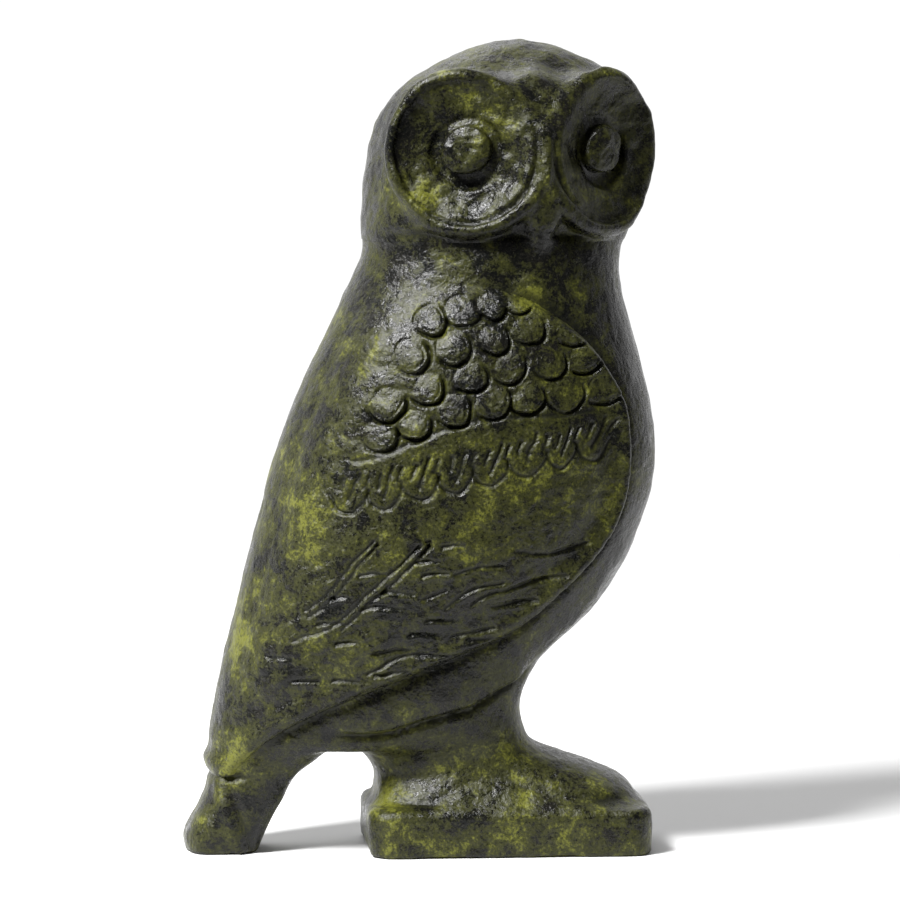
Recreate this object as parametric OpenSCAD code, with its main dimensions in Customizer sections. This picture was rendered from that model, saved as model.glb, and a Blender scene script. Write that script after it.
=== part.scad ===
// Owl figurine: a hollow bronze statuette, cast in sections that are
// fitted with spigots and sockets, pinned or screwed together and chased.
// Frame: +X is where the breast and toes point, +Y is the bird's left and
// +Z is up. The origin is the centre of the plinth's underside.

/* [Figure] */
// Height from the ground to the crown
height = 110; // [100:1:120]
// Breadth of the torso, head, legs and tail against the modelled one
girth = 1; // [0.9:0.05:1.1]
// Angle that the head is turned to the bird's right
head_turn = 77; // [60:1:90]

/* [Castings] */
// Wall of the hollow head and torso
wall = 3; // [2.5:0.1:3.5]
// Thickness of the wing plates at their free edge
wing_edge = 1.5; // [1:0.1:1.8]
// Length of the plinth
plinth_l = 38.6; // [38:0.2:40]
// Width of the plinth
plinth_w = 25; // [25:0.5:28]
// Height of the plinth's sides
plinth_h = 6.6; // [6:0.1:6.8]

/* [Joints] */
// Radius of the head's spigot
spigot_r = 9; // [8:0.1:9.5]
// Radius of the legs' spigot
hip_r = 4.2; // [3.5:0.1:4.4]
// Radius of the tail's tenon
tenon_r = 2.5; // [2:0.1:3]
// Radius of the pins and rivets
pin_r = 0.8; // [0.6:0.1:1]
// Nominal diameter of the plinth screws
screw_d = 3; // [2.5:0.5:3]
// Gap around every fitted part
fit = 0.05; // [0.03:0.01:0.1]

/* [Eyes] */
// Radius of the raised eye stud
eye_r = 3.3; // [3:0.1:3.6]
// Radius of the dished disc round each eye
disc_r = 10.4; // [10:0.1:10.6]
// Angle between the beak and each disc's own direction
disc_splay = 28; // [24:1:30]

/* [Hidden] */
$fn = 64;

nominal_height = 110;
k = height / nominal_height;
seam_gap = 0.02;

// Colours of the waxed green-black patina, and of the bare metal inside
patina = [0.20, 0.23, 0.14];
patina_light = [0.34, 0.37, 0.18];
bare_bronze = [0.62, 0.47, 0.26];
steel = [0.60, 0.60, 0.62];

// Every casting is a stack of horizontal sections. A row holds the section's
// height, its back and front ends, its half width and its squareness.
hip_z = 14.5;
neck_z = 83;
TORSO = [
    [14.5, -40.3, 2.4, 9.8, 3.6],
    [20, -39.4, 1.6, 11.4, 3.0],
    [26, -38.1, 4.2, 13.4, 2.6],
    [33, -36.4, 11.7, 15.4, 2.3],
    [42, -34.3, 17.3, 17.0, 2.2],
    [54, -30.9, 20.2, 17.8, 2.2],
    [64, -27.0, 18.7, 17.0, 2.2],
    [74, -22.3, 15.9, 15.0, 2.2],
    [80, -19.4, 15.0, 14.0, 2.2],
    [83, -18.6, 15.6, 13.8, 2.2]
];
TAIL = [
    [0, -43.2, -34.0, 6.4, 3.4],
    [1.3, -44.1, -33.3, 6.9, 3.4],
    [4, -43.2, -32.2, 7.1, 3.2],
    [8, -41.1, -30.1, 7.2, 3.0],
    [11, -40.6, -28.2, 7.4, 3.0],
    [14.5, -40.3, -23.5, 8.4, 3.0]
];
LEGS = [
    [plinth_h, -18.2, 18.4, 12.0, 5.0],
    [plinth_h + 0.9, -18.0, 17.8, 11.2, 4.2],
    [9.4, -17.8, 16.0, 9.9, 3.2],
    [11, -17.9, 12.4, 9.0, 2.8],
    [12.3, -18.5, 7.8, 8.6, 2.8],
    [13.4, -19.4, 4.6, 8.8, 2.8],
    [14.5, -21.0, 2.5, 9.4, 3.0]
];
// The head's sections lie across its own axis, with the face to the front.
// Their last value shifts them towards the bird's left as the head tilts.
HEAD = [
    [83, -13.6, 11.6, 17.5, 2.5, -1.7],
    [87, -15.0, 12.8, 18.4, 2.8, -0.6],
    [92, -15.8, 13.4, 19.1, 3.0, 0.5],
    [97, -15.4, 13.2, 18.9, 3.0, 1.3],
    [101, -13.8, 12.2, 17.5, 2.8, 1.3],
    [104.5, -11.0, 10.2, 14.6, 2.5, 1.5],
    [107.4, -7.4, 7.6, 9.8, 2.3, 1.5],
    [109.2, -4.0, 4.6, 5.4, 2.1, 1.2],
    [110, -1.4, 2.0, 2.0, 2.0, 1.0]
];
// The ridge between the eyes and the beak below it, in the head's own axes
BEAK = [
    [83.3, 8, 15.6, 0.9, 2.0],
    [85.2, 8, 18.0, 1.7, 2.0],
    [88, 8, 18.4, 2.0, 2.0],
    [92, 8, 17.6, 1.3, 2.0],
    [98, 8, 16.8, 1.3, 2.0],
    [102, 7, 14.2, 1.7, 2.0],
    [104, 6, 11.4, 1.2, 2.0]
];
head_x = 0.2;
// Heights of the wings' rows and the place of their front edge at each
WING_FRONT = [
    [11, -38.4], [13, -37.2], [16, -33.8], [18.6, -29.4], [21, -24], [24.2, -15.6], [27, -9.4],
    [29.4, -3.4], [32, 1.2], [36, 5.6], [40, 9.8], [46, 13.6], [53, 15.2], [61, 14.4], [67, 11.6],
    [71, 8.4], [75, 3.2], [77.5, -2.2], [79, -8]
];
// The lowest row carries the wing tips past the torso and over the tail
WING_SEAT = concat([[11, -40.7, -6.0, 9.2, 3.2]], TORSO);
wing_back_angle = 160;

fine_sides = 40;
eye_z = 95.4;
rivet_places = [[-14, 62], [-20, 32]];
screw_x = [-13.5, 9.5];

// ---------- sections and lofts ----------

function row(table, i) = table[max(0, min(len(table) - 1, i))];

function slope(table, i) =
    let (a = row(table, i - 1), b = row(table, i + 1))
    (b - a) / (b[0] - a[0]);

// The last row at or below height z, but never the table's last one
function segment(table, z) =
    let (below = [for (i = [0:len(table) - 1]) if (table[i][0] <= z) i])
    min(len(table) - 2, max(concat([0], below)));

// The section at height z, on a smooth curve through the table's rows
function section(table, z) =
    let (
        i = segment(table, z),
        a = table[i],
        b = table[i + 1],
        h = b[0] - a[0],
        t = (z - a[0]) / h
    )
    a * (2 * t ^ 3 - 3 * t ^ 2 + 1) + slope(table, i) * h * (t ^ 3 - 2 * t ^ 2 + t)
    + b * (3 * t ^ 2 - 2 * t ^ 3) + slope(table, i + 1) * h * (t ^ 3 - t ^ 2);

function heights(table, steps) = [
    for (i = [0:len(table) - 2]) for (j = [0:steps - 1])
        table[i][0] + (table[i + 1][0] - table[i][0]) * j / steps,
    table[len(table) - 1][0]
];

function signed_power(v, p) = sign(v) * abs(v) ^ p;

// A point of a section's outline, where angle 0 is its front end
function outline_point(s, angle, inset = 0) = [
    k * ((s[1] + s[2]) / 2 + ((s[2] - s[1]) / 2 - inset) * signed_power(cos(angle), 2 / s[4])),
    k * girth * ((s[3] - inset) * signed_power(sin(angle), 2 / s[4]) + (len(s) > 5 ? s[5] : 0)),
    k * s[0]
];

function ring(s, sides, inset = 0) = [for (j = [0:sides - 1]) outline_point(s, 360 * j / sides, inset)];

function side_faces(rows, sides) = [
    for (i = [0:rows - 2]) for (j = [0:sides - 1])
        let (a = i * sides + j, b = i * sides + (j + 1) % sides)
        each [[a, a + sides, b + sides], [a, b + sides, b]]
];

module skin(rings, sides) {
    last = (len(rings) - 1) * sides;
    polyhedron(
        points = [for (r = rings) each r],
        faces = concat(
            [[for (j = [0:sides - 1]) j]],
            [[for (j = [sides - 1:-1:0]) last + j]],
            side_faces(len(rings), sides)
        )
    );
}

module loft(table, steps, sides) {
    skin([for (z = heights(table, steps)) ring(section(table, z), sides)], sides);
}

// The space inside a casting, between two heights
module hollow(table, from, to, rows, sides) {
    skin([
        for (i = [0:rows])
            let (z = from + (to - from) * i / rows)
            ring(section(table, z), sides, wall / k)
    ], sides);
}

// Half width of the figure under the wing, at a place in its side view
function side_y(x, z) =
    let (s = section(WING_SEAT, z), u = abs(x - (s[1] + s[2]) / 2) / ((s[2] - s[1]) / 2))
    girth * s[3] * max(0, 1 - u ^ s[4]) ^ (1 / s[4]);

// ---------- castings ----------

module plinth_plan(r) {
    square([plinth_l - 2 * r, plinth_w], center = true);
    square([plinth_l, plinth_w - 2 * r], center = true);
    for (x = [-1, 1], y = [-1, 1])
        translate([x * (plinth_l / 2 - r), y * (plinth_w / 2 - r)]) circle(r);
}

counterbore_r = screw_d * 1.05;
head_pocket = 3.4;
plinth_corner_r = 3.5;

module plinth() color(patina_light)
    difference() {
        scale(k) linear_extrude(plinth_h) plinth_plan(plinth_corner_r);
        for (x = screw_x) translate([k * x, 0, 0]) {
            translate([0, 0, -1]) cylinder(r = screw_d / 2 + 0.2, h = plinth_h * k + 2);
            translate([0, 0, -1]) cylinder(r = counterbore_r, h = head_pocket + 1);
        }
    }

module legs() color(patina_light)
    difference() {
        union() {
            translate([0, 0, seam_gap]) loft(LEGS, 2, 36);
            hip_spigot(hip_r, hip_depth);
        }
        for (x = screw_x) screw_hole(x, 0.2);
    }

hip_x = -5.5;
hip_depth = 7;
module hip_spigot(r, depth)
    translate([k * hip_x, 0, k * (hip_z - 1)]) cylinder(r = r, h = k * (depth + 1));

module screw_hole(x, gap)
    translate([k * x, 0, 0]) cylinder(r = screw_d / 2 + gap, h = k * screw_top(x));

// The rear screw holds the torso and the front one only the toes
function screw_top(x) = x < 0 ? 24 : 9;

torso_hollow = [27, 74];
socket_floor = 73;
module body() color(patina)
    difference() {
        translate([0, 0, seam_gap * 2]) loft(TORSO, 3, fine_sides);
        hollow(TORSO, torso_hollow[0], torso_hollow[1], 12, 32);
        translate([head_x * k, 0, k * socket_floor]) cylinder(r = spigot_r + fit, h = k * 12);
        hip_spigot(hip_r + fit, hip_depth + fit);
        screw_hole(screw_x[0], 0);
        tail_tenon(tenon_r + fit, tenon_l + fit);
        tail_pin_shape(fit);
        neck_pin_shapes(fit);
        rivet_shapes(fit);
        body_plug_shapes(fit);
    }

tenon_x = -32;
tenon_l = 7;
module tail_tenon(r, length)
    translate([k * tenon_x, 0, k * (hip_z - 1)]) cylinder(r = r, h = k * (length + 1));

module tail() color(patina)
    difference() {
        union() {
            loft(TAIL, 2, 32);
            tail_tenon(tenon_r, tenon_l);
        }
        tail_pin_shape(fit);
    }

module in_head() translate([head_x * k, 0, 0]) rotate([0, 0, -head_turn]) children();

// Places its children at an eye, with +Z along the disc's own direction
disc_centre = [12.5, 9.8];
module at_disc(side)
    in_head() translate([k * disc_centre[0], k * side * disc_centre[1], k * eye_z])
        rotate([0, 90, side * disc_splay]) children();

// A disc with its raised rim, on a drum that is sunk into the head
rim_h = 0.9;
drum_depth = 5;
module disc_drum() rotate_extrude()
    translate([k * disc_r, 0]) polygon([
        [-k * disc_r, -drum_depth], [0, -drum_depth], [0, rim_h - 0.4], [-0.5, rim_h], [-1.2, rim_h],
        [-1.9, 0], [-k * disc_r, 0]
    ]);

// The head's own form, cut back where the discs go
module skull() difference() {
    translate([0, 0, seam_gap * 3]) in_head() loft(HEAD, 3, fine_sides);
    for (side = [-1, 1]) at_disc(side) cylinder(r = k * disc_r - 0.6, h = 5);
}

head_hollow = [87, 105.5];
spigot_foot = 74.5;
module head() color(patina)
    difference() {
        union() {
            skull();
            in_head() loft(BEAK, 2, 20);
            for (side = [-1, 1]) at_disc(side) disc_drum();
            translate([head_x * k, 0, k * spigot_foot]) cylinder(r = spigot_r, h = k * 10);
        }
        in_head() hollow(HEAD, head_hollow[0], head_hollow[1], 7, 28);
        translate([head_x * k, 0, k * (spigot_foot - 0.5)])
            cylinder(r = spigot_r - wall, h = k * 14);
        for (side = [-1, 1]) at_disc(side) translate([0, 0, -6]) cylinder(r = shank_r + fit, h = 7);
        neck_pin_shapes(fit);
        head_plug_shapes(fit);
    }

// ---------- wings ----------

wing_cols = 12;
wing_rows = 32;
plate_gap = 0.12;

// Parameter angle of a place on a section's outline
function outline_angle(s, x) =
    let (u = (x - (s[1] + s[2]) / 2) / ((s[2] - s[1]) / 2))
    acos(sign(u) * min(1, abs(u)) ^ (s[4] / 2));

// Direction in which a section's outline faces
function outline_normal(s, angle) =
    let (
        a = (s[2] - s[1]) / 2,
        q = 2 - 2 / s[4],
        v = [signed_power(cos(angle), q) / a, abs(sin(angle)) ^ q / s[3], 0]
    )
    v / norm(v);

// The plate thins out towards the back and the shoulder, where it is flush
function wing_thickness(u, z) =
    let (top = WING_FRONT[len(WING_FRONT) - 1][0])
    0.5 + (wing_edge - 0.5) * min(1, 2.2 * u) * min(1, (top - z) / 12);

function wing_point(i, j, outer) =
    let (
        low = WING_FRONT[0][0],
        high = WING_FRONT[len(WING_FRONT) - 1][0],
        z = low + (high - low) * i / wing_rows,
        s = section(WING_SEAT, z),
        u = j / wing_cols,
        front = outline_angle(s, section(WING_FRONT, z)[1]),
        angle = wing_back_angle + (front - wing_back_angle) * u,
        lift = plate_gap + (outer ? wing_thickness(u, z) : 0)
    )
    outline_point(s, angle) + k * lift * outline_normal(s, angle);

// The left wing's plate; the right one is its mirror image
module wing_plate() {
    n = wing_cols + 1;
    count = (wing_rows + 1) * n;
    outer = [for (i = [0:wing_rows]) for (j = [0:wing_cols]) wing_point(i, j, true)];
    inner = [for (i = [0:wing_rows]) for (j = [0:wing_cols]) wing_point(i, j, false)];
    both = [
        for (i = [0:wing_rows - 1]) for (j = [0:wing_cols - 1])
            let (a = i * n + j, b = a + 1, c = a + n, d = c + 1)
            each [
                [a, b, d], [a, d, c],
                [count + a, count + d, count + b], [count + a, count + c, count + d]
            ]
    ];
    rim = concat(
        [for (j = [0:wing_cols]) j],
        [for (i = [1:wing_rows]) i * n + wing_cols],
        [for (j = [wing_cols - 1:-1:0]) wing_rows * n + j],
        [for (i = [wing_rows - 1:-1:1]) i * n]
    );
    edge = [
        for (i = [0:len(rim) - 1])
            let (a = rim[i], b = rim[(i + 1) % len(rim)])
            each [[b, a, count + a], [b, count + a, count + b]]
    ];
    polyhedron(points = concat(outer, inner), faces = concat(both, edge));
}

module left_wing() color(patina_light)
    difference() {
        wing_plate();
        rivet_shapes(fit);
    }

module right_wing() color(patina_light)
    difference() {
        mirror([0, 1, 0]) wing_plate();
        rivet_shapes(fit);
    }

// ---------- eyes ----------

shank_r = 1.8;
shank_l = 5;
eye_seat = 0.05;
module eye() color(patina_light) {
    translate([0, 0, eye_seat]) rotate_extrude() eye_profile();
    translate([0, 0, eye_seat - shank_l]) cylinder(r = shank_r, h = shank_l);
}

// A low drum with a domed top
eye_drum_h = 0.5;
dome_drop = 6;
module eye_profile() {
    square([k * eye_r, eye_drum_h]);
    intersection() {
        translate([0, eye_drum_h]) square([k * eye_r, 2]);
        translate([0, eye_drum_h - dome_drop]) circle(r = norm([k * eye_r, dome_drop]));
    }
}

module right_eye() at_disc(-1) eye();
module left_eye() at_disc(1) eye();

// ---------- pins, rivets, plugs and screws ----------

pin_z = 78.5;
pin_l = 5.9;
pin_angles = [30, 150, 270];
module neck_pin_shapes(gap)
    for (angle = pin_angles) translate([head_x * k, 0, k * pin_z]) rotate([0, 90, angle])
        translate([0, 0, spigot_r - 2]) cylinder(r = pin_r + gap, h = pin_l + (gap > 0 ? 12 : 0));

module neck_pins() color(bare_bronze) neck_pin_shapes(0);

rivet_lift = 0.8;
rivet_l = 4.6;
module rivet_shapes(gap)
    for (p = rivet_places, side = [-1, 1])
        let (outside = k * side_y(p[0], p[1]) + rivet_lift)
        translate([k * p[0], side * outside, k * p[1]]) rotate([side * 90, 0, 0])
            translate([0, 0, gap > 0 ? -3 : 0])
                cylinder(r = pin_r + gap, h = rivet_l + (gap > 0 ? 4 : 0));

module wing_rivets() color(bare_bronze) rivet_shapes(0);

tail_pin_z = 18;
module tail_pin_shape(gap)
    translate([k * tenon_x, 0, k * tail_pin_z]) rotate([90, 0, 0])
        cylinder(r = pin_r + gap, h = tail_pin_l + (gap > 0 ? 8 : 0), center = true);

tail_pin_l = 18.4;
module tail_pin() color(bare_bronze) tail_pin_shape(0);

plug_r = 1.4;
plug_z = 46;
plug_depth = 1.2;
module body_plug_shapes(gap)
    for (end = [0, 1]) {
        s = section(TORSO, plug_z);
        translate([k * (end == 0 ? s[1] + plug_depth : s[2] - wall - plug_depth), 0, k * plug_z])
            rotate([0, 90, 0]) translate([0, 0, gap > 0 ? -4 : 0])
                cylinder(r = plug_r + gap, h = wall + (gap > 0 ? 8 : 0));
    }

nape_plug_x = -14.5;
nape_plug_z = 94;
module head_plug_shapes(gap)
    in_head() translate([k * (nape_plug_x + (gap > 0 ? -2 : 0)), 0, k * nape_plug_z])
        rotate([0, 90, 0])
            cylinder(r = plug_r + gap, h = wall - 0.4 + (gap > 0 ? 6 : 0));

module core_plugs() color(bare_bronze) {
    body_plug_shapes(0);
    head_plug_shapes(0);
}

washer_h = 0.5;
module plinth_screws() color(steel)
    for (x = screw_x) translate([k * x, 0, 0]) {
        translate([0, 0, head_pocket - washer_h - screw_d * 0.6 - 0.1])
            difference() {
                cylinder(r = screw_d * 0.92, h = screw_d * 0.6);
                translate([-screw_d, -0.4, -1]) cube([screw_d * 2, 0.8, 1.7]);
            }
        translate([0, 0, head_pocket - washer_h - 0.2])
            cylinder(r = screw_d / 2 - 0.02, h = k * screw_top(x) - head_pocket - 0.8);
    }

module screw_washers() color(steel)
    for (x = screw_x) translate([k * x, 0, head_pocket - washer_h])
        difference() {
            cylinder(r = screw_d, h = washer_h - 0.02);
            translate([0, 0, -1]) cylinder(r = screw_d / 2 + 0.1, h = washer_h + 2);
        }

plinth();
legs();
body();
tail();
head();
right_wing();
left_wing();
right_eye();
left_eye();
neck_pins();
wing_rivets();
tail_pin();
core_plugs();
plinth_screws();
screw_washers();
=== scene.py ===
import math

import bmesh
import bpy
import numpy as np
import openvdb as vdb
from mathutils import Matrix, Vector


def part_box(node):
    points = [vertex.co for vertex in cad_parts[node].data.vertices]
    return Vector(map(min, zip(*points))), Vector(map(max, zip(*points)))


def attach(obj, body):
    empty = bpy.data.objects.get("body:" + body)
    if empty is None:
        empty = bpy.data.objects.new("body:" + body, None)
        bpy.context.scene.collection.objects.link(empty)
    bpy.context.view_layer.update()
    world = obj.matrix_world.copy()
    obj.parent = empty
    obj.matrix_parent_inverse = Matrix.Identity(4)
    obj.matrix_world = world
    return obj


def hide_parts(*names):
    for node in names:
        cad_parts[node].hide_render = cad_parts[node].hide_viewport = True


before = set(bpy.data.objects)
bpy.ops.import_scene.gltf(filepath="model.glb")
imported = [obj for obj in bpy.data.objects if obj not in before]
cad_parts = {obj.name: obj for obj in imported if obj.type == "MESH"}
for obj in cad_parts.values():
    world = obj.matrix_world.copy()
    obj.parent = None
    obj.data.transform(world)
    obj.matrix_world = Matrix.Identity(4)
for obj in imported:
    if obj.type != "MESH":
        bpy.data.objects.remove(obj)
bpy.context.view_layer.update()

# The skins of the castings are sculpted in millimetres, in the row frame, and made in metres.
MM = 0.001
# How far from a surface its distances are known
REACH = 3.2
# The radius that fills the corners where castings meet, and the one that fills out the brow
FILLET, BROW_FILLET = 1.4, 2.9
# What the stronger smoothing takes off a form
REGAIN = 0.45

CASTINGS = ["plinth", "legs", "body", "tail", "head", "neck_pins", "wing_rivets", "tail_pin"]
CASTINGS += ["core_plugs", "plinth_screws"]


def node_box(node):
    """The lowest and highest corners of a CAD node, in millimetres."""
    low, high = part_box(node)
    return np.array(low) / MM, np.array(high) / MM


neck_z = node_box("body")[1][2]
hip_z = node_box("body")[0][2]
plinth_top = node_box("plinth")[1][2]


# ---------- numbers that vary over space ----------

class Mottle:
    """Smooth random values in space, the same on every run."""

    SIZE = 32

    def __init__(self, seed):
        table = np.random.default_rng(seed).random((self.SIZE,) * 3)
        self.table = (table * 2 - 1).astype(np.float32)

    def at(self, points, blotch):
        """A value from -1 to 1 at each point, where blotch is the size of a patch in mm."""
        cell = np.floor(points / blotch).astype(int)
        t = points / blotch - cell
        t = t * t * (3 - 2 * t)
        total = np.zeros(len(points))
        for corner in np.ndindex(2, 2, 2):
            weight = np.prod(np.where(corner, t, 1 - t), axis=1)
            i, j, k = ((cell + corner) % self.SIZE).T
            total += weight * self.table[i, j, k]
        return total

    def layered(self, points, blotch, layers=3):
        """The sum of ever finer and weaker layers."""
        parts = [self.at(points + 7.7 * n, blotch / 2 ** n) / 2 ** n for n in range(layers)]
        return sum(parts)


def ease(low, high, value):
    """0 below low, 1 above high, and a smooth rise between."""
    t = np.clip((value - low) / (high - low), 0, 1)
    return t * t * (3 - 2 * t)


def bell(distance, width):
    """1 at no distance, and close to 0 beyond twice the width."""
    return np.exp(-(distance / width) ** 2)


# ---------- clay ----------

class Clay:
    """A block of distances to a surface in millimetres, negative inside it."""

    def __init__(self, low, high, step):
        self.step = step
        self.low = np.array(low, float)
        counts = [int(round((b - a) / step)) + 1 for a, b in zip(low, high)]
        axes = [a + step * np.arange(n) for a, n in zip(low, counts)]
        self.x, self.y, self.z = np.meshgrid(*axes, indexing="ij", sparse=True)
        self.field = np.empty(counts, np.float32)

    def take(self, points, triangles=None, quads=None):
        """Fills the block with the distances to a closed mesh."""
        grid = vdb.FloatGrid.createLevelSetFromPolygons(
            (points - self.low).astype(np.float32),
            triangles=triangles,
            quads=quads,
            transform=vdb.createLinearTransform(self.step),
            halfWidth=REACH / self.step,
        )
        grid.copyToArray(self.field)

    def surface(self, offset=0.0):
        """Points and quads of the surface at a distance of offset outside the form."""
        grid = vdb.FloatGrid(REACH)
        grid.copyFromArray(self.field)
        points, quads = grid.convertToQuads(offset)
        return points.astype(float) * self.step + self.low, quads

    def grow_and_shrink(self, distance):
        """Fills gaps narrower than twice the distance; a negative one takes off thin lumps."""
        points, quads = self.surface(distance)
        self.take(points, quads=quads)
        self.field += distance

    def blur(self, width):
        """Rounds the form over with a bell-shaped average."""
        reach = int(3 * width / self.step)
        offsets = np.arange(-reach, reach + 1)
        weights = np.exp(-0.5 * (offsets * self.step / width) ** 2)
        weights /= weights.sum()
        for axis in range(3):
            pad = [(reach, reach) if a == axis else (0, 0) for a in range(3)]
            padded = np.pad(self.field, pad, mode="edge")
            size = self.field.shape[axis]
            total = np.zeros_like(self.field)
            for shift, weight in zip(offsets + reach, weights):
                total += weight * np.take(padded, range(shift, shift + size), axis=axis)
            self.field = total

    def soften_where(self, amount):
        """A light blur everywhere, and where amount is 1 a stronger one that keeps the size."""
        self.blur(0.5)
        crisp = self.field.copy()
        self.blur(0.85)
        self.field = (crisp + (self.field - crisp - REGAIN) * amount).astype(np.float32)

    def join(self, other, blend):
        """Adds the form with the given distances, with a rounded corner between the two."""
        gap = np.maximum(blend - np.abs(self.field - other), 0) / blend
        self.field = (np.minimum(self.field, other) - gap * gap * blend / 4).astype(np.float32)

    def cut(self, other, blend):
        """Takes away the form with the given distances, and rounds the new edge."""
        self.field = -self.field
        self.join(other, blend)
        self.field = -self.field

    def sample(self, points):
        place = (points - self.low) / self.step
        cell = np.clip(np.floor(place).astype(int), 0, np.array(self.field.shape) - 2)
        t = place - cell
        total = np.zeros(len(points))
        for corner in np.ndindex(2, 2, 2):
            weight = np.prod(np.where(corner, t, 1 - t), axis=1)
            i, j, k = (cell + corner).T
            total += weight * self.field[i, j, k]
        return total

    def normals(self, points):
        """The direction that the surface faces at each point."""
        steps = np.eye(3) * self.step
        slope = [self.sample(points + s) - self.sample(points - s) for s in steps]
        slope = np.stack(slope, axis=1)
        return slope / np.linalg.norm(slope, axis=1, keepdims=True)


def node_mesh(nodes):
    """Points in millimetres and triangles of several CAD nodes together."""
    points, triangles, count = [], [], 0
    for name in nodes:
        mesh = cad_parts[name].data
        mesh.calc_loop_triangles()
        co = np.empty(len(mesh.vertices) * 3, np.float32)
        mesh.vertices.foreach_get("co", co)
        corners = np.empty(len(mesh.loop_triangles) * 3, np.int32)
        mesh.loop_triangles.foreach_get("vertices", corners)
        points.append(co.reshape(-1, 3) / MM)
        triangles.append(corners.reshape(-1, 3) + count)
        count += len(mesh.vertices)
    return np.concatenate(points), np.concatenate(triangles).astype(np.uint32)


# ---------- where the patina is green ----------

# Where the green has grown thickest: (x, z) of a patch in mm, its radius and its strength
PATCHES = [
    (-20, 69, 3, 0.3), (-28, 43, 4, 0.25), (-37, 30, 4, 0.2), (-38, 13, 3, 0.2), (-17, 8, 3, 0.25),
    (13, 52, 5, 0.2), (-33, 36, 3, 0.2), (2, 76, 2, 0.3), (8, 67, 4, 0.15), (-4, 46, 5, 0.15),
    (-12, 90, 4, 0.15), (-6, 104, 4, 0.1), (14, 90, 4, 0.15), (-3, 16, 5, 0.12), (-24, 24, 4, 0.15),
    (14, 99, 6, 0.12), (-5, 95.5, 3, 0.2), (-20, 32, 3, 0.15), (2, 10, 3, 0.15),
]


def growth(points, groove_patina_and_shade):
    """How much green has gathered at each point, from about -0.3 to 0.6."""
    x, _, z = points.T
    total = 0.12 * groove_patina_and_shade
    for patch_x, patch_z, radius, strength in PATCHES:
        total += strength * bell(np.hypot(x - patch_x, z - patch_z), radius)
    # The breast, neck and the back of the head are handled most and stay dark
    total -= 0.12 * ease(9, 15, x) * ease(84, 70, z) * ease(24, 34, z)
    total -= 0.1 * ease(-12, -16, x) * ease(86, 92, z)
    total -= 0.06 * ease(62, 70, z) * ease(86, 80, z)
    total += 0.07 * bell(z - 53, 8) + 0.05 * ease(22, 12, z)
    return total


# ---------- meshes ----------

def mesh_object(name, points, quads, groove_patina_and_shade=0.0):
    """An object from points in millimetres and four-cornered faces."""
    mesh = bpy.data.meshes.new(name)
    mesh.vertices.add(len(points))
    mesh.vertices.foreach_set("co", (points * MM).astype(np.float32).ravel())
    mesh.loops.add(len(quads) * 4)
    mesh.loops.foreach_set("vertex_index", quads.astype(np.int32).ravel())
    mesh.polygons.add(len(quads))
    mesh.polygons.foreach_set("loop_start", np.arange(0, len(quads) * 4, 4, dtype=np.int32))
    mesh.update(calc_edges=True)
    # The groove mask marks the cut-in places: growth() greens the patina there, and the material darkens
    # them as painted shade.
    groove_patina_and_shade = np.broadcast_to(groove_patina_and_shade, len(points))
    for layer_name, values in (("growth", growth(points, groove_patina_and_shade)), ("groove_patina_and_shade", groove_patina_and_shade)):
        layer = mesh.attributes.new(layer_name, "FLOAT", "POINT")
        layer.data.foreach_set("value", values.astype(np.float32))
    obj = bpy.data.objects.new(name, mesh)
    bpy.context.scene.collection.objects.link(obj)
    return obj


def outward(bm):
    """Turns the faces of a closed mesh outward."""
    if bm.calc_volume(signed=True) < 0:
        bmesh.ops.reverse_faces(bm, faces=bm.faces)


def sliced(name, source, planes):
    """A closed piece of a closed mesh. A plane keeps what lies ahead of it: (point, direction)."""
    bm = bmesh.new()
    bm.from_mesh(source.data)
    outward(bm)
    for place, direction in planes:
        geometry = bm.verts[:] + bm.edges[:] + bm.faces[:]
        bmesh.ops.bisect_plane(
            bm, geom=geometry, plane_co=Vector(place) * MM, plane_no=Vector(direction),
            clear_inner=True, dist=1e-7,
        )
        rim = [e for e in bm.edges if e.is_boundary]
        caps = bmesh.ops.holes_fill(bm, edges=rim, sides=0)["faces"]
        bmesh.ops.triangulate(bm, faces=caps)
    bmesh.ops.recalc_face_normals(bm, faces=bm.faces)
    mesh = bpy.data.meshes.new(name)
    bm.to_mesh(mesh)
    bm.free()
    obj = bpy.data.objects.new(name, mesh)
    bpy.context.scene.collection.objects.link(obj)
    return obj


def polish(obj):
    """Smooth shading, except across sharp edges."""
    faces = obj.data.polygons
    faces.foreach_set("use_smooth", np.ones(len(faces), bool))
    obj.data.set_sharp_from_angle(angle=math.radians(50))


def grid_quads(rows, columns, closed=False):
    """Faces between the points of a grid, whose rows may close on themselves."""
    i, j = np.meshgrid(np.arange(rows - 1), np.arange(columns - (0 if closed else 1)), indexing="ij")
    i, j = i.ravel(), j.ravel()
    k = (j + 1) % columns
    corners = [i * columns + j, i * columns + k, (i + 1) * columns + k, (i + 1) * columns + j]
    return np.stack(corners, axis=1)


def close_ends(obj):
    """Caps every open rim, merges points that fell together and turns the faces outward."""
    bm = bmesh.new()
    bm.from_mesh(obj.data)
    bmesh.ops.remove_doubles(bm, verts=bm.verts, dist=1e-7)
    rim = [e for e in bm.edges if e.is_boundary]
    caps = bmesh.ops.holes_fill(bm, edges=rim, sides=0)["faces"]
    bmesh.ops.triangulate(bm, faces=caps)
    bmesh.ops.recalc_face_normals(bm, faces=bm.faces)
    bm.to_mesh(obj.data)
    bm.free()


# ---------- the torso, legs, tail and plinth ----------

figure = Clay((-48, -22, -3.2), (24, 22, 88), 0.4)
castings_points, castings_triangles = node_mesh(CASTINGS)
figure.take(castings_points, triangles=castings_triangles)
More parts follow.
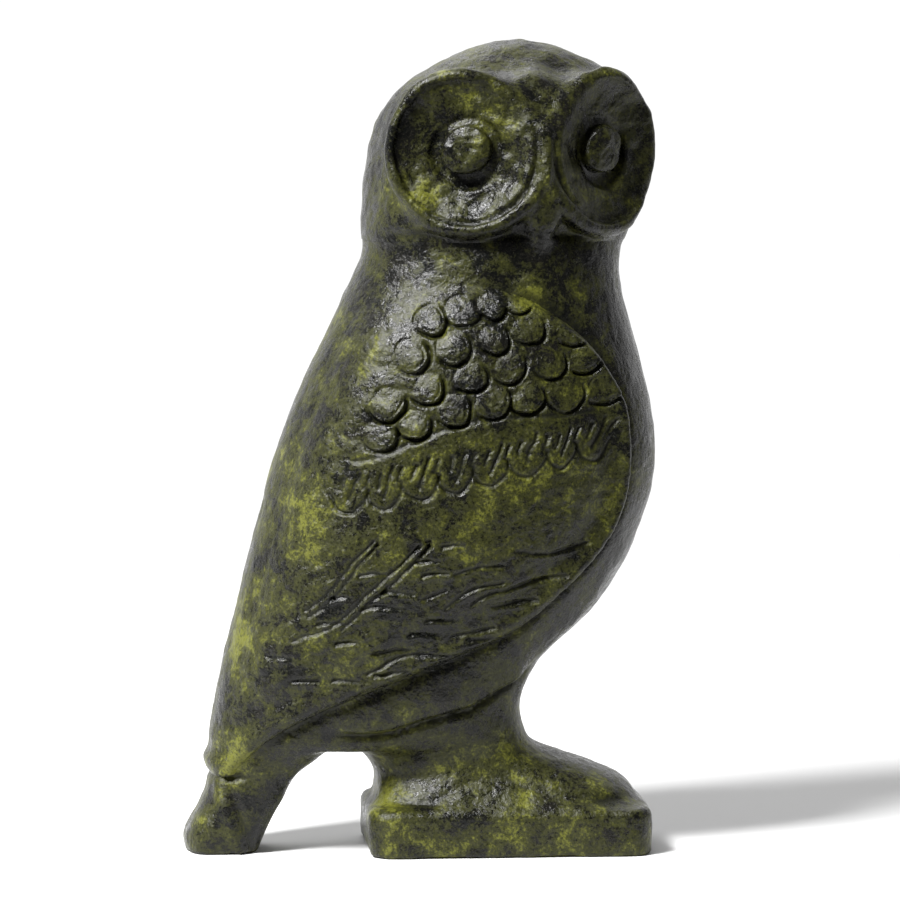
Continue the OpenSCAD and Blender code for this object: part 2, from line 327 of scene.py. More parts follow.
# The form goes on below the ground while it is smoothed, and is then cut off flat
ground = int(round((1.0 - figure.low[2]) / figure.step))
figure.field[:, :, :ground] = figure.field[:, :, ground:ground + 1]
figure.grow_and_shrink(-0.8)
figure.grow_and_shrink(FILLET)
figure.soften_where(ease(8, 16, figure.z))
figure.cut(figure.z, 0.5)
# The two pockets under the plinth that the screw heads lie in
SCREW_X, POCKET_R, POCKET_TOP = (-13.5, 9.5), 3.25, 3.3
for screw_x in SCREW_X:
    from_axis = np.hypot(figure.x - screw_x, figure.y)
    figure.cut(np.maximum(from_axis - POCKET_R, figure.z - POCKET_TOP), 0.1)

cast = Mottle(11)


def uneven(points):
    """The waviness of a form that was modelled by hand in wax."""
    return 0.16 * cast.layered(points, 7.0, 3) + 0.06 * cast.layered(points, 1.8, 2)


# ---------- where the wings lie ----------

# Points up and across a wing, and places where each row is first traced
WING_ROWS, WING_COLUMNS, ACROSS = 360, 300, 160


# A distance that is outside the torso on every side, and the steps that reach it from there
OUTSIDE, TRACE_STEPS = 44, 70


def trace(clay, origins, directions):
    """Where lines from outside the clay first meet its surface."""
    gone = np.zeros(len(origins))
    for _ in range(TRACE_STEPS):
        gone += 0.9 * clay.sample(origins + directions * gone[:, None])
    return origins + directions * gone[:, None]


def torso_middle(heights):
    """The x of the middle of the torso at each height."""
    inside = (figure.field < 0).any(axis=1)
    first = inside.argmax(axis=0)
    last = inside.shape[0] - 1 - inside[::-1].argmax(axis=0)
    middle = figure.low[0] + figure.step * (first + last) / 2
    levels = figure.z.ravel()
    return np.interp(np.clip(heights, hip_z + 2, neck_z - 2), levels, middle)


def wing_limits(node, heights):
    """Polar angles of a CAD wing's back and front edges round the torso's middle."""
    points, _ = node_mesh([node])
    level = np.round(points[:, 2], 2)
    rows = [points[level == z] for z in np.unique(level)]
    rows = [r for r in rows if len(r) > 20]
    found = []
    for row in rows:
        z = row[0, 2]
        angles = np.arctan2(np.abs(row[:, 1]), row[:, 0] - torso_middle(z))
        found.append((z, angles.max(), angles.min()))
    z, back, front = np.array(found).T
    return np.interp(heights, z, back), np.interp(heights, z, front)


def soften(values, reach):
    """A running average that keeps the ends."""
    before = 2 * values[0] - values[reach:0:-1]
    after = 2 * values[-1] - values[-2:-reach - 2:-1]
    padded = np.concatenate([before, values, after])
    return np.convolve(padded, np.ones(2 * reach + 1) / (2 * reach + 1), mode="valid")


def wing_base(side):
    """A grid of points on the torso under a wing, evenly spaced along each row."""
    node = "right_wing" if side < 0 else "left_wing"
    low, high = node_box(node)
    heights = np.linspace(low[2], high[2], WING_ROWS)
    back, front = wing_limits(node, heights)
    back, front = soften(back, 8), soften(front, 5)
    middle = torso_middle(heights)
    fine = np.linspace(0, 1, ACROSS)
    angles = back[:, None] + (front - back)[:, None] * fine
    out = np.stack([np.cos(angles), side * np.sin(angles), np.zeros_like(angles)], axis=2)
    centre = np.stack([middle, np.zeros(WING_ROWS), heights], axis=1)[:, None, :]
    start = (centre + OUTSIDE * out).reshape(-1, 3)
    hit = trace(figure, start, -out.reshape(-1, 3)).reshape(WING_ROWS, -1, 3)
    grid = np.empty((WING_ROWS, WING_COLUMNS, 3))
    for n, row in enumerate(hit):
        run = np.concatenate([[0], np.cumsum(np.linalg.norm(np.diff(row, axis=0), axis=1))])
        even = np.linspace(0, run[-1], WING_COLUMNS)
        for axis in range(3):
            grid[n, :, axis] = np.interp(even, run, row[:, axis])
    flat = grid.reshape(-1, 3)
    facing = figure.normals(flat)
    flat -= facing * figure.sample(flat)[:, None]
    return flat, facing


def distance_to(points, line):
    """The shortest distance from each point to the corners of a finely divided line."""
    nearest = np.full(len(points), 1e9)
    for corner in line:
        nearest = np.minimum(nearest, np.sum((points - corner) ** 2, axis=1))
    return np.sqrt(nearest)


WING_SEATS = {side: wing_base(side) for side in (-1, 1)}
WING_EDGES = {
    side: seat.reshape(WING_ROWS, WING_COLUMNS, 3)[:, -1] for side, (seat, _) in WING_SEATS.items()
}


def carve(clay, offset_of):
    """Moves the clay's surface along its own direction by offset_of(points)."""
    points, quads = clay.surface()
    facing = clay.normals(points)
    offset = offset_of(points, facing)
    return points + facing * offset[:, None], quads, offset


def figure_relief(points, facing):
    x, y, z = points.T
    sideways = ease(0.3, 0.7, np.abs(facing[:, 1]))
    # The flank feathers end in a rounded roll over the legs
    step_z = np.interp(x, [-24, -20, -16, -12, -5.5, 1, 4], [17.2, 16.9, 17.3, 18.8, 20.4, 24, 26.5])
    over_legs = sideways * ease(-26, -20, x) * ease(5, 0, x)
    above = z - step_z
    offset = uneven(points)
    roll = 0.95 * ease(-0.4, 0.9, above) * ease(8, 2, above) - 0.65 * bell(above + 0.4, 0.6)
    offset += over_legs * roll
    # A crease follows the free edge of each wing
    for side in (-1, 1):
        near = (side * y > 2) & (z > 10) & (z < 80)
        from_edge = distance_to(points[near], WING_EDGES[side][::2])
        offset[near] -= 0.55 * bell(from_edge - 0.4, 0.8) * ease(80, 72, z[near])
    # The back ends in a lip over the root of the tail
    behind = ease(-33, -37.5, x)
    offset += behind * (0.55 * bell(z - 12.4, 1.1) - 0.4 * bell(z - 10.6, 0.5))
    # The tail's middle feather stands up as a ridge
    along_tail = sideways * ease(13, 9, z) * ease(-26, -30, x)
    across = x + 38.5 + 0.35 * (z - 6)
    offset += along_tail * (0.35 * bell(across, 0.8) - 0.3 * bell(across - 1.9, 0.4))
    # The edge of the feet above the plinth
    foot = sideways * ease(-19, -17, x) * ease(20, 14, x)
    line_z = np.interp(x, [-18, -11, -8, -4, 0, 6, 16], [7.2, 7.4, 8.8, 10.6, 10, 8, 7.6])
    offset -= 0.25 * foot * bell(z - line_z, 0.7)
    return offset


points, quads, offset = carve(figure, figure_relief)
# How deep the relief sinks in becomes the groove mask, so the recesses get painted shade and more green.
whole = mesh_object("figure_block", points, quads, np.clip(-2 * offset, 0, 1))

arch_x = (node_box("tail")[1][0] + node_box("legs")[0][0]) / 2
foot_z = plinth_top + 0.5
UP, DOWN = (0, 0, 1), (0, 0, -1)
torso = sliced("torso_casting", whole, [((0, 0, hip_z), UP), ((0, 0, neck_z), DOWN)])
legs = sliced(
    "legs_casting", whole, [((0, 0, foot_z), UP), ((0, 0, hip_z), DOWN), ((arch_x, 0, 0), (1, 0, 0))]
)
tail = sliced("tail_casting", whole, [((0, 0, hip_z), DOWN), ((arch_x, 0, 0), (-1, 0, 0))])
plinth = sliced("plinth_casting", whole, [((0, 0, foot_z), DOWN), ((arch_x, 0, 0), (1, 0, 0))])
bpy.data.objects.remove(whole)
for piece in (torso, legs, tail, plinth):
    polish(piece)

# ---------- the head ----------

# The head's turn and the discs' splay repeat the CAD model's, in degrees.
HEAD_TURN, SPLAY = 77, 28
HEAD_X = 0.2
# The top of the CAD model's eye over the disc's plane, and the sculpted one's
EYE_TOP, EYE_DOME = 1.3, 0.7
DISH_R, RIM_R, EYE_R = 9.4, 10.0, 3.35
# Where the left disc reaches farthest forward: the x, and the height
WIDEST_X, WIDEST_Z = 20.2, 96.3


class Disc:
    """Where one of the two discs of the face lies; side is -1 for the right eye, 1 for the left."""

    def __init__(self, side):
        self.side = side
        angle = math.radians(side * SPLAY - HEAD_TURN)
        self.ahead = np.array([math.cos(angle), math.sin(angle), 0])
        self.across = np.array([-math.sin(angle), math.cos(angle), 0]) * -side
        points, _ = node_mesh(["right_eye" if side < 0 else "left_eye"])
        spread = points @ self.across
        depth = (points @ self.ahead).max() - EYE_TOP
        self.centre = depth * self.ahead + (spread.max() + spread.min()) / 2 * self.across
        self.centre[2] = (points[:, 2].max() + points[:, 2].min()) / 2

    def place(self, x, y, z):
        """Height above the disc, and how far towards the beak and up a point lies from its centre."""
        dx, dy, dz = x - self.centre[0], y - self.centre[1], z - self.centre[2]
        height = dx * self.ahead[0] + dy * self.ahead[1]
        inward = dx * self.across[0] + dy * self.across[1]
        return height, inward, dz


def dish_floor(radius):
    """The dish is deepest round the eye and rises to its rim."""
    return -1.3 + 2.0 * (radius / RIM_R) ** 2.2


def in_face(forward, left, z):
    """A place given in the turned head's own axes."""
    turn = -math.radians(HEAD_TURN)
    x = HEAD_X + forward * math.cos(turn) - left * math.sin(turn)
    return (x, forward * math.sin(turn) + left * math.cos(turn), z)


discs = [Disc(-1), Disc(1)]
head = Clay((-24, -24, 80), (24, 22, 113.2), 0.28)
head.take(castings_points, triangles=castings_triangles)
head.grow_and_shrink(FILLET)
neck = head.field.copy()
# The brow is filled out until the discs lie sunk in the head
head.grow_and_shrink(BROW_FILLET)
head.field = (neck + (head.field - neck) * ease(87, 92, head.z)).astype(np.float32)
head.soften_where(ease(89, 84.5, head.z))
brow, BROW_R = in_face(11.2, 0, 102.4), 3.3
from_brow = (head.x - brow[0]) ** 2 + (head.y - brow[1]) ** 2 + (head.z - brow[2]) ** 2
head.join(np.sqrt(from_brow) - BROW_R, 3.5)
# The discs are neither round nor even
spots = np.stack(np.broadcast_arrays(head.x, head.y, head.z), axis=-1).reshape(-1, 3)
wander = (0.35 * cast.at(spots, 5.0) + 0.15 * cast.at(spots, 2.0)).reshape(head.field.shape)
lumps = (0.4 * cast.at(spots + 40, 3.0) + 0.25 * cast.at(spots + 40, 1.3)).reshape(head.field.shape)
for disc in discs:
    height, inward, up = disc.place(head.x, head.y, head.z)
    radius = np.maximum(np.sqrt(inward ** 2 + up ** 2) + wander, 0)
    outer_side = ease(-0.6, 0.6, (-inward - 0.8 * up) / np.maximum(radius, 0.1))
    head.join(np.sqrt((radius - RIM_R) ** 2 + (height + 0.1) ** 2) - 0.85, 1.8)
    head.cut(np.maximum(dish_floor(radius) + lumps - height, radius - DISH_R), 0.9)
    head.cut(np.sqrt((radius - EYE_R - 0.8) ** 2 + (height + 1.1) ** 2) - 0.1 - 0.65 * outer_side, 0.7)
# The left disc ends a little short of a full circle, more so above its widest place
from_widest = np.maximum(head.z - WIDEST_Z, -10.5)
curve = np.where(from_widest > 0, 0.052, 0.026)
head.cut(WIDEST_X - curve * from_widest ** 2 - head.x, 1.2)
# Between the discs the nose is a low ridge, and the beak hardly stands out below it
turn = math.radians(HEAD_TURN)
ahead = (head.x - HEAD_X) * math.cos(turn) - head.y * math.sin(turn)
profile = np.interp(head.z, [84, 88, 92, 98, 102, 106], [16.3, 17.2, 17.1, 16.9, 15.4, 13.6])
head.cut(profile - ahead, 1.2)


def head_relief(points, facing):
    offset = uneven(points) * (1 + 0.5 * ease(84, 88, points[:, 2]))
    for disc in discs:
        height, inward, up = disc.place(*points.T)
        radius, angle = np.hypot(inward, up), np.arctan2(up, inward)
        # A second ridge round the cheek, below the disc and next to the beak
        cheek = ease(0.1, 0.7, np.cos(angle + 0.9)) * ease(-4, -1, height)
        offset += 0.5 * cheek * bell(radius - 11.3, 0.8)
        offset -= 0.55 * cheek * bell(radius - 9.7, 0.45)
    # The jaw's edge over the neck
    face = facing @ (np.array(in_face(1, 0, 0)) - np.array(in_face(0, 0, 0)))
    offset -= 0.3 * ease(0.2, 0.7, face) * bell(points[:, 2] - 84.0, 0.6)
    return offset


points, quads, offset = carve(head, head_relief)
# How deep the relief sinks in becomes the groove mask, so the recesses get painted shade and more green.
whole = mesh_object("head_block", points, quads, np.clip(-2 * offset, 0, 1))
head_piece = sliced("head_casting", whole, [((0, 0, neck_z + 0.02), UP)])
bpy.data.objects.remove(whole)
polish(head_piece)


def eye_stud(name, disc):
    """A domed stud that was cut by hand, so its outline isn't quite round."""
    rings, sides = 34, 96
    turn = np.arange(sides) * 2 * math.pi / sides
    outline = 1 + 0.05 * np.cos(2 * turn + disc.side) + 0.03 * np.cos(3 * turn + 1)
    rows = []
    for n in range(rings):
        t = n / (rings - 1)
        # From the middle of the dome over its round shoulder and down into the dish
        reach = EYE_R * min(1, 1.25 * t) ** 0.8 * outline
        drop = 0.9 * min(1, 1.25 * t) ** 2.4 + 2.6 * max(0, t - 0.74) / 0.26
        height = np.full(sides, EYE_DOME - drop)
        rows.append(np.stack([reach * np.cos(turn), reach * np.sin(turn), height], axis=1))
    local = np.concatenate(rows)
    place = disc.centre + local[:, :1] * disc.across + local[:, 1:2] * np.array([0, 0, 1.0])
    place = place + local[:, 2:] * disc.ahead
    wobble = 0.3 * cast.layered(place, 2.2, 3)
    place += wobble[:, None] * disc.ahead
    quads = grid_quads(rings, sides, True)
    obj = mesh_object(name, place, quads)
    close_ends(obj)
    return obj


right_eye = eye_stud("right_eye_stud", discs[0])
left_eye = eye_stud("left_eye_stud", discs[1])
polish(right_eye)
polish(left_eye)

# ---------- the wings ----------

# How far the wing stands up, how widely its edge is rounded, and how deep its two sides go
# into the torso
LIFT, EDGE_ROUND = 1.35, 1.5
SUNK, UNDERSIDE = -0.9, -1.4
# At the back and the shoulder the wing dips just below the torso's skin
FLUSH = -0.12


def smooth_path(corners, spacing=0.25):
    """A curve through a few chosen corners, as closely spaced points."""
    corners = np.array(corners, float)
    padded = np.concatenate([2 * corners[:1] - corners[1:2], corners, 2 * corners[-1:] - corners[-2:-1]])
    pieces = []
    for a, b, c, d in zip(padded, padded[1:], padded[2:], padded[3:]):
        count = max(2, int(np.linalg.norm(c - b) / spacing))
        t = (np.arange(count) / count)[:, None]
        pieces.append(0.5 * (2 * b + (c - a) * t + (2 * a - 5 * b + 4 * c - d) * t ** 2
                             + (3 * b - a - 3 * c + d) * t ** 3))
    return np.concatenate(pieces + [corners[-1:]])


class Chasing:
    """Marks cut into a surface that is seen from the side; x is forward and z is up, in mm."""

    def __init__(self, x, z, hand):
        # The tool wandered a little, so the marks do too
        spots = np.stack([x, np.zeros_like(x), z], axis=1)
        self.x = x + 0.45 * hand.at(spots, 4.0) + 0.14 * hand.at(spots, 1.3)
        self.z = z + 0.45 * hand.at(spots + 50, 4.0) + 0.14 * hand.at(spots + 50, 1.3)
        self.strength = 1 + 0.45 * hand.at(spots + 90, 3.0)
        self.height = np.zeros(len(x))
        # Where the cuts lie: the material darkens these places as painted shade, and the green gathers
        # there.
        self.groove_patina_and_shade = np.zeros(len(x))

    def line(self, corners, depth=0.4, width=0.26, burr=0.08):
        """A gouged line with a burr along its lower side; it starts deep and runs out."""
        path = smooth_path(corners)
        low, high = path.min(axis=0) - 2, path.max(axis=0) + 2
        inside = (self.x > low[0]) & (self.x < high[0]) & (self.z > low[1]) & (self.z < high[1])
        near = np.flatnonzero(inside)
        gap_x = self.x[near][:, None] - path[:, 0]
        gap_z = self.z[near][:, None] - path[:, 1]
        squared = gap_x ** 2 + gap_z ** 2
        nearest = squared.argmin(axis=1)
        spot = np.arange(len(near))
        distance = np.sqrt(squared[spot, nearest])
        below = ease(0.2, -0.2, gap_z[spot, nearest])
        along = nearest / len(path)
        force = self.strength[near] * (1 - 0.5 * along)
        self.height[near] += burr * force * below * bell(distance - 2.1 * width, width)
        self.height[near] -= depth * force * bell(distance, width)
        self.groove_patina_and_shade[near] = np.maximum(self.groove_patina_and_shade[near], bell(distance, 1.2 * width))

    def scale(self, x, z, radius, lean=-0.95):
        """A round feather that rises towards its free edge and drops into a crescent."""
        dx, dz = self.x - x, self.z - z
        distance = np.hypot(dx, dz)
        towards = (dx * math.cos(lean) + dz * math.sin(lean)) / radius
        inside = ease(radius + 0.12, radius - 0.12, distance)
        crown = 0.16 + 0.26 * towards - 0.12 * (distance / radius) ** 4
        self.height += inside * (crown * self.strength - self.height)
        self.groove_patina_and_shade *= 1 - inside
        free_edge = ease(-0.25, 0.35, towards * radius / np.maximum(distance, 0.01))
        cut = free_edge * bell(distance - radius - 0.22, 0.26)
        scratch = free_edge * bell(distance - 0.8 * radius, 0.16)
        self.height -= self.strength * (0.55 * cut + 0.14 * scratch)
        self.groove_patina_and_shade = np.maximum(self.groove_patina_and_shade, cut)


# Rows of round coverts, the lowest first: height of the row, its first x, the number of scales and
# their pitch
COVERT_ROWS = [
    (62.5, -17.8, 7, 4.8), (66.7, -16.9, 6, 5.2), (71.1, -13.7, 5, 5.2), (75.4, -11.2, 4, 3.9),
]
COVERT_R = 2.15
# One of the short feathers in the middle row: its rounded tip, its shaft and two barbs
FEATHERS, FEATHER_PITCH = 8, 4.6
FEATHER = [
    [(-2.3, 1.8), (-1.6, -0.1), (0.2, -0.6), (1.8, 0.8), (2.5, 2.6)],
    [(1.4, 4.8), (0.6, 2.8), (-0.1, 1.0)],
    [(-0.3, 3.9), (-0.9, 2.2)],
    [(2.6, 4.6), (1.9, 3.0)],
]
# The chased outlines of the longer feathers, as (x, z) corners
COVERT_EDGE = [(-21, 54), (-17, 55), (-12, 57), (-8.5, 58.5), (-3.5, 60), (3.5, 60), (10, 60.5)]
# Where the long feathers end and begin
PRIMARIES = [
    [(-18.5, 43), (-19, 43.6), (-24, 37.5), (-27.5, 34)], [(-18.5, 43), (-23, 37.2), (-27, 33.2)],
    [(-11.5, 43), (-12.8, 43), (-23.5, 32.5), (-29, 30)], [(-11.5, 43), (-19.5, 34.7), (-23, 31.5)],
    [(-2, 40.5), (-5, 40), (-8.5, 39.2)], [(6, 39), (1.5, 38), (-3, 36.8), (-6, 35)],
    [(-2, 38.2), (-6, 37), (-9.5, 35)], [(2.5, 35.7), (-3, 35)], [(-3, 32), (-8.5, 31)],
    [(-6.5, 28.5), (-15, 28), (-19.5, 26)], [(-9.5, 37), (-13, 36)], [(9, 43), (4, 42), (0, 42.3)],
]
# Short level strokes across them: each one's first x, height and last x
BARBS = [
    (-20.5, 39, -17.5), (-17.5, 36.7, -14), (-24.5, 35.8, -21.5), (-13, 41, -10.5), (-10, 43, -7.5),
    (-12.5, 39.2, -9.5), (-20, 34.5, -15.5), (-6.5, 30.7, -1.5), (-18.5, 26, -14.5),
    (-23.5, 29.7, -20.5), (-18.5, 28.8, -14), (-24, 24.8, -21), (-26, 32.2, -22.5), (-14, 31, -10),
    (-12, 33.2, -8.5), (-8, 26.8, -4.5), (-29.5, 24.5, -26), (-32, 27.5, -29.5),
]


def wing_marks(points, hand):
    """Every feather that is chased into a wing."""
    x, _, z = points.T
    marks = Chasing(x, z, hand)
    chance = np.random.default_rng(5)
    for base, start, count, pitch in COVERT_ROWS:
        for n in range(count):
            shift, rise, size, turn = chance.uniform(-1, 1, 4)
            at = start + pitch * n + 0.35 * shift
            height = base + 0.12 * at - 0.008 * (at - 2) ** 2 + 0.35 * rise
            marks.scale(at, height, COVERT_R * (1 + 0.1 * size), -0.95 + 0.25 * turn)
    marks.line(COVERT_EDGE, depth=0.2, width=0.35, burr=0.05)
    for n in range(FEATHERS):
        foot_x = -22 + FEATHER_PITCH * n
        foot_z = 47.6 + 0.22 * (foot_x + 22)
        for stroke in FEATHER:
            marks.line([(foot_x + right, foot_z + up) for right, up in stroke])
    for corners in PRIMARIES:
        marks.line(corners)
    for start, height, end in BARBS:
        marks.line([(start, height - 0.1), ((start + end) / 2, height + 0.1), (end, height)])
    # Fine strokes that follow the long feathers down to the wing's tip
    lean = 0.5
    along = x * math.cos(lean) + z * math.sin(lean)
    beside = z * math.cos(lean) - x * math.sin(lean)
    strokes = hand.at(np.stack([along / 4, beside, np.zeros_like(x)], axis=1), 0.7)
    marks.height += 0.13 * strokes * ease(48, 40, z) * (0.6 + 0.4 * hand.at(points, 5.0))
    return marks


def wing_skin(name, side, seed):
    """A wing's plate on its seat; seed sets where the chasing tool wandered."""
    hand = Mottle(seed)
    base, facing = WING_SEATS[side]
    grid = base.reshape(WING_ROWS, WING_COLUMNS, 3)
    edge = grid[:, -1]
    from_edge = distance_to(base, edge)
    run = np.linalg.norm(np.diff(grid, axis=1), axis=2).cumsum(axis=1)
    from_back = np.concatenate([np.zeros((WING_ROWS, 1)), run], axis=1).ravel()
    from_top = base[:, 2].max() - base[:, 2]
    lift = FLUSH + (LIFT - FLUSH) * ease(0, 10, from_back) * ease(0, 10, from_top)
    # A rounded bead and a shallow valley follow the free edge
    bead = 0.8 * bell(from_edge - 1.6, 1.0) - 0.45 * bell(from_edge - 4.3, 1.5)
    lift += bead * ease(4, 12, from_top) * (0.4 + 0.6 * ease(30, 42, base[:, 2]))
    marks = wing_marks(base, hand)
    lift += marks.height * ease(0.5, 2.0, from_edge) * ease(0, 3, from_back)
    lift += uneven(base) + 0.05 * hand.layered(base, 1.3, 2)
    round_over = np.sqrt(np.clip(1 - (1 - np.clip(from_edge / EDGE_ROUND, 0, 1)) ** 2, 0, 1))
    outer = base + facing * (SUNK + (lift - SUNK) * round_over)[:, None]
    quads = grid_quads(WING_ROWS, WING_COLUMNS)
    # The chased marks' mask goes on the plate, for the painted shade in its cuts and the green there.
    obj = mesh_object(name, outer, quads, marks.groove_patina_and_shade)
    back_off(obj, base + facing * UNDERSIDE)
    polish(obj)
    return obj


def back_off(obj, under):
    """Closes a sheet with a coarser copy of itself underneath."""
    bm = bmesh.new()
    bm.from_mesh(obj.data)
    outer = list(bm.verts)
    step = 10
    rows = list(range(0, WING_ROWS - 1, step)) + [WING_ROWS - 1]
    columns = list(range(0, WING_COLUMNS - 1, step)) + [WING_COLUMNS - 1]
    made = {}
    for i in rows:
        for j in columns:
            made[i, j] = bm.verts.new(under[i * WING_COLUMNS + j] * MM)
    for a, b in zip(rows, rows[1:]):
        for c, d in zip(columns, columns[1:]):
            bm.faces.new([made[a, c], made[b, c], made[b, d], made[a, d]])

    def stitch(fine, coarse):
        """Joins a rim's fine corners to the coarse ones under them."""
        ends = [n for n, (_, key) in enumerate(fine) if key in coarse]
        for start, end in zip(ends, ends[1:]):
            left, right = made[fine[start][1]], made[fine[end][1]]
            half = (start + end) // 2
            for n in range(start, half):
                bm.faces.new([fine[n][0], left, fine[n + 1][0]])
            bm.faces.new([fine[half][0], left, right])
            for n in range(half, end):
                bm.faces.new([fine[n][0], right, fine[n + 1][0]])

    def rim(keys):
        return [(outer[i * WING_COLUMNS + j], (i, j)) for i, j in keys]

    last_row, last_column = WING_ROWS - 1, WING_COLUMNS - 1
    stitch(rim([(0, j) for j in range(WING_COLUMNS)]), made)
    stitch(rim([(last_row, j) for j in range(WING_COLUMNS)]), made)
    stitch(rim([(i, 0) for i in range(WING_ROWS)]), made)
    stitch(rim([(i, last_column) for i in range(WING_ROWS)]), made)
    bmesh.ops.recalc_face_normals(bm, faces=bm.faces)
    bm.to_mesh(obj.data)
    bm.free()


right_wing = wing_skin("right_wing_plate", -1, 21)
left_wing = wing_skin("left_wing_plate", 1, 22)

# ---------- material ----------

class Recipe:
    """A procedural material, built up socket by socket. Places are in millimetres."""

    def __init__(self, name):
        self.material = bpy.data.materials.new(name)
        self.material.use_nodes = True
        self.nodes = self.material.node_tree.nodes
        self.links = self.material.node_tree.links
        self.shader = self.nodes["Principled BSDF"]
        metres = self.nodes.new("ShaderNodeTexCoord").outputs["Object"]
        self.place = self.vector("MULTIPLY", metres, 1 / MM)

    def put(self, value, socket):
        """Sets a number or a colour on a socket itself, or links another node's output to it."""
        if isinstance(value, (int, float)):
            socket.default_value = value
        elif isinstance(value, tuple):
            socket.default_value = (*value, 1) if len(socket.default_value) == 4 else value
        else:
            self.links.new(value, socket)

    def vector(self, operation, value, other):
        node = self.nodes.new("ShaderNodeVectorMath")
        node.operation = operation
        self.put(value, node.inputs[0])
        self.put((other, other, other), node.inputs[1])
        return node.outputs["Vector"]

    def math(self, operation, value, other=0.0):
        node = self.nodes.new("ShaderNodeMath")
        node.operation = operation
        self.put(value, node.inputs[0])
        self.put(other, node.inputs[1])
        return node.outputs["Value"]

    def noise(self, blotch, detail=3, roughness=0.6, shift=0.0, distortion=0.0):
        """Values round 0.5 in patches of about the given size."""
        node = self.nodes.new("ShaderNodeTexNoise")
        self.put(self.vector("ADD", self.place, shift), node.inputs["Vector"])
        node.inputs["Scale"].default_value = 1 / blotch
        node.inputs["Detail"].default_value = detail
        node.inputs["Roughness"].default_value = roughness
        node.inputs["Distortion"].default_value = distortion
        return node.outputs["Fac"]

    def pits(self, spacing):
        """0 in the middle of scattered pits and rising to 1 between them."""
        node = self.nodes.new("ShaderNodeTexVoronoi")
        self.put(self.place, node.inputs["Vector"])
        node.inputs["Scale"].default_value = 1 / spacing
        return self.rise(node.outputs["Distance"], 0.05, 0.32)

    def rise(self, value, low, high, start=0.0, end=1.0):
        """A smooth change from start, where the value is low, to end, where it is high."""
        node = self.nodes.new("ShaderNodeMapRange")
        node.interpolation_type = "SMOOTHSTEP"
        self.put(value, node.inputs["Value"])
        self.put(low, node.inputs["From Min"])
        self.put(high, node.inputs["From Max"])
        self.put(start, node.inputs["To Min"])
        self.put(end, node.inputs["To Max"])
        return node.outputs["Result"]

    def blend(self, factor, first, second):
        """A colour from first to second; the node's sockets 6 and 7 are its two colours."""
        node = self.nodes.new("ShaderNodeMix")
        node.data_type = "RGBA"
        self.put(factor, node.inputs["Factor"])
        self.put(first, node.inputs[6])
        self.put(second, node.inputs[7])
        return node.outputs[2]

    def bump(self, height, depth, base=None):
        """Adds relief that is depth millimetres high to the shading."""
        node = self.nodes.new("ShaderNodeBump")
        node.inputs["Distance"].default_value = depth * MM
        self.put(height, node.inputs["Height"])
        if base is not None:
            self.put(base, node.inputs["Normal"])
        return node.outputs["Normal"]

    def finish(self, colour, roughness, normal, metallic=0.0):
        self.put(colour, self.shader.inputs["Base Color"])
        self.put(roughness, self.shader.inputs["Roughness"])
        self.put(normal, self.shader.inputs["Normal"])
        self.shader.inputs["Metallic"].default_value = metallic
        self.shader.inputs["Specular IOR Level"].default_value = 0.27
        return self.material


def patina_material():
    r = Recipe("patinated_bronze")
    attribute = r.nodes.new("ShaderNodeAttribute")
    attribute.attribute_name = "growth"
    grown = attribute.outputs["Fac"]
    clouds = r.noise(8.0, 4, 0.65, 3.0, 0.4)
    blotches = r.noise(2.3, 6, 0.72, 31.0, 0.6)
    specks = r.noise(0.42, 3, 0.75, 57.0)
    amount = r.math("ADD", r.math("MULTIPLY", clouds, 0.45), r.math("MULTIPLY", blotches, 0.55))
    amount = r.math("ADD", amount, r.math("MULTIPLY", specks, 0.3))
    amount = r.math("ADD", amount, r.math("MULTIPLY", grown, 0.5))
    olive = r.rise(amount, 0.6, 0.7)
    chartreuse = r.rise(amount, 0.71, 0.83)
    colour = r.blend(r.rise(r.noise(4.0, 4, 0.7, 80.0), 0.4, 0.65), DARK_BRONZE, WARM_DARK)
    colour = r.blend(olive, colour, OLIVE)
    colour = r.blend(chartreuse, colour, CHARTREUSE)
    # The fine grains' raised tops are made paler and the low places between them darker, following the
    # grains' bump
    grains = r.noise(0.34, 4, 0.8, 12.0)
    colour = r.blend(r.rise(grains, 0.52, 0.72, 0.0, 0.45), colour, PALE_GRAIN)
    colour = r.blend(r.rise(grains, 0.5, 0.34, 0.0, 0.75), colour, DARK_BRONZE)
    # Painted shade: the cut-in places in the groove mask are darkened towards DARK_BRONZE, standing for
    # the shade that falls into them.
    cut = r.nodes.new("ShaderNodeAttribute")
    cut.attribute_name = "groove_patina_and_shade"
    colour = r.blend(r.rise(cut.outputs["Fac"], 0.15, 0.9, 0.0, 0.8), colour, DARK_BRONZE)
    roughness = r.math("ADD", r.rise(olive, 0, 1, 0.2, 0.36), r.rise(specks, 0.3, 0.7, -0.05, 0.08))
    normal = r.bump(grains, 0.05)
    normal = r.bump(r.noise(1.2, 4, 0.6, 45.0), 0.26, normal)
    normal = r.bump(r.pits(1.5), 0.05, normal)
    return r.finish(colour, roughness, normal)


def bare_bronze_material():
    r = Recipe("bare_bronze")
    stain = r.rise(r.noise(1.5, 4, 0.6), 0.4, 0.7)
    colour = r.blend(stain, (0.42, 0.25, 0.09), (0.16, 0.1, 0.04))
    roughness = r.rise(stain, 0, 1, 0.3, 0.55)
    return r.finish(colour, roughness, r.bump(r.noise(0.2, 3, 0.6, 9.0), 0.02), 1.0)


def steel_material():
    r = Recipe("screw_steel")
    stain = r.rise(r.noise(1.2, 4, 0.6), 0.45, 0.75)
    colour = r.blend(stain, (0.5, 0.5, 0.5), (0.24, 0.22, 0.2))
    roughness = r.rise(stain, 0, 1, 0.28, 0.5)
    return r.finish(colour, roughness, r.bump(r.noise(0.15, 2, 0.6, 9.0), 0.012), 1.0)


